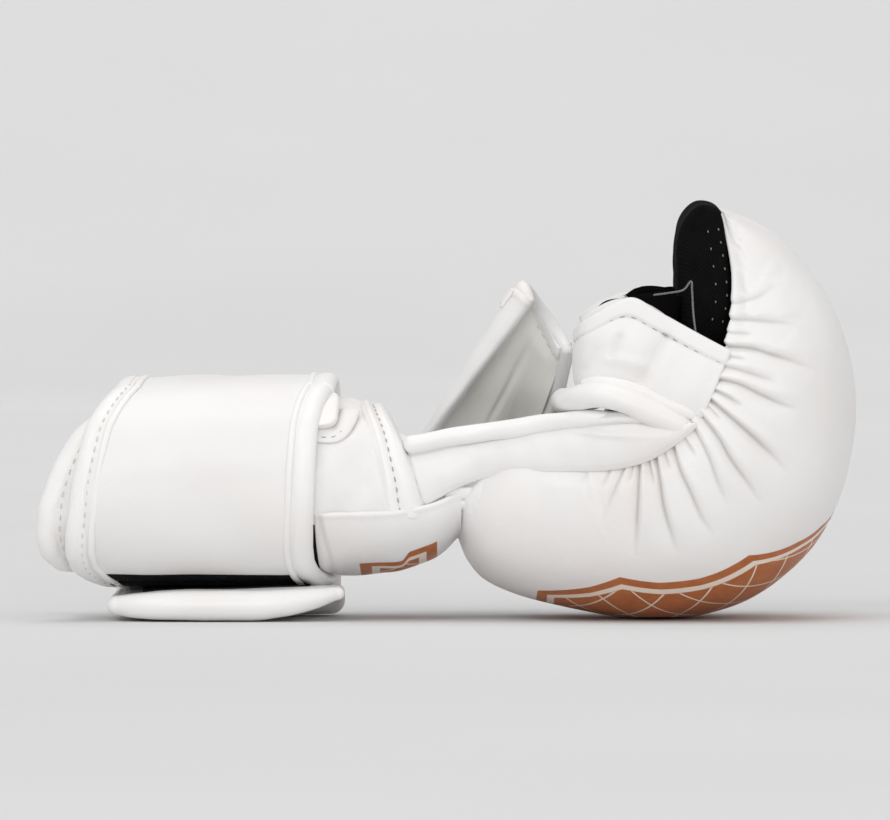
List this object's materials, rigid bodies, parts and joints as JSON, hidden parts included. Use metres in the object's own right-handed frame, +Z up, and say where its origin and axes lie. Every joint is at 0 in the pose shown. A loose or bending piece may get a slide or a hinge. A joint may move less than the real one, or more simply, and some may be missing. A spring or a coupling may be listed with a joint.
{
  "type": "open-palm sparring glove",
  "caption": "Left open-palm sparring glove: curled foam knuckle pad, finger loops, thumb loop, grip bar and padded double-strap wrist cuff.",
  "frame": {"origin": "centre of the bounding box's base, on the surface the glove lies on", "axes": "+X from the wrist to the knuckles, +Y towards the thumb, +Z up out of the palm"},
  "size_m": [0.2718, 0.1134, 0.136],
  "materials": {
    "white_leather": "smooth semi-gloss coated leather",
    "white_binding": "rolled semi-gloss binding",
    "black_lining": "matt woven lining",
    "loop_tape": "matt loop pile",
    "hook_tape": "fine nylon hooks",
    "padding_foam": "closed-cell foam"
  },
  "bodies": {
    "hand": {"back_shell": "white_leather", "back_foam_outer": "padding_foam", "back_foam_inner": "padding_foam", "back_lining": "black_lining", "finger_hood_cover": "black_lining", "finger_hood_foam": "padding_foam", "grip_bar_cover": "white_leather", "grip_bar_core": "padding_foam", "ulnar_band": "white_leather", "ulnar_band_edge": "white_binding", "radial_band": "white_leather", "ulnar_finger_panel": "white_leather", "radial_finger_panel": "white_leather", "neck_gusset": "white_leather"},
    "little_finger_loop": {"finger_loop_little": "white_leather", "finger_lining_little": "black_lining"},
    "ring_finger_loop": {"finger_loop_ring": "white_leather", "finger_lining_ring": "black_lining"},
    "middle_finger_loop": {"finger_loop_middle": "white_leather", "finger_lining_middle": "black_lining"},
    "index_finger_loop": {"finger_loop_index": "white_leather", "finger_lining_index": "black_lining"},
    "thumb_loop": {"thumb_loop_shell": "white_leather", "thumb_loop_foam": "padding_foam", "thumb_loop_lining": "white_leather", "thumb_loop_binding": "white_binding"},
    "cuff": {"cuff_shell": "white_leather", "cuff_foam": "padding_foam", "cuff_lining": "black_lining", "cuff_rear_binding": "white_binding", "cuff_front_binding": "white_binding", "cuff_loop_patch": "loop_tape", "wrist_bridge": "white_leather", "wrist_back_panel": "white_leather", "wrist_wrap_anchor": "white_leather", "wrist_wrap_anchor_edges": "white_binding", "closure_strap_root": "white_leather"},
    "wrist_wrap": {"wrist_wrap_cover": "white_leather", "wrist_wrap_foam": "padding_foam", "wrist_wrap_backing": "white_leather", "wrist_wrap_edges": "white_binding", "wrist_wrap_hook": "hook_tape", "wrist_loop_field": "loop_tape"},
    "closure_strap": {"closure_strap_cover": "white_leather", "closure_strap_foam": "padding_foam", "closure_strap_backing": "white_leather", "closure_strap_hook": "hook_tape"}
  },
  "joints": [
    {"name": "wrist_flex", "type": "hinge", "parent": "hand", "child": "cuff", "pos_m": [0.006, 0, 0.03], "axis": [0, 1, 0], "range_deg": [-15, 15], "deforming": ["ulnar_band", "ulnar_band_edge", "neck_gusset"]},
    {"name": "closure_strap_open", "type": "hinge", "parent": "cuff", "child": "closure_strap", "pos_m": [-0.0725, 0.02, 0], "axis": [1, 0, 0], "range_deg": [0, 120]},
    {"name": "wrist_wrap_open", "type": "hinge", "parent": "cuff", "child": "wrist_wrap", "pos_m": [-0.0725, -0.02, 0.0785], "axis": [-1, 0, 0], "range_deg": [0, 80]},
    {"name": "thumb_loop_swing", "type": "hinge", "parent": "hand", "child": "thumb_loop", "pos_m": [0.015, 0.045, 0.06], "axis": [1, 0, 0], "range_deg": [-15, 20]},
    {"name": "little_finger_flex", "type": "hinge", "parent": "hand", "child": "little_finger_loop", "pos_m": [0.046, -0.0334, 0.076], "axis": [0, -1, 0], "range_deg": [0, 10]},
    {"name": "ring_finger_flex", "type": "hinge", "parent": "hand", "child": "ring_finger_loop", "pos_m": [0.046, -0.0112, 0.076], "axis": [0, -1, 0], "range_deg": [0, 10]},
    {"name": "middle_finger_flex", "type": "hinge", "parent": "hand", "child": "middle_finger_loop", "pos_m": [0.046, 0.0112, 0.076], "axis": [0, -1, 0], "range_deg": [0, 10]},
    {"name": "index_finger_flex", "type": "hinge", "parent": "hand", "child": "index_finger_loop", "pos_m": [0.046, 0.0334, 0.076], "axis": [0, -1, 0], "range_deg": [0, 10]}
  ],
  "couplings": [
    {"joint": "wrist_wrap_open", "follows": "closure_strap_open", "ratio": 0.65}
  ]
}
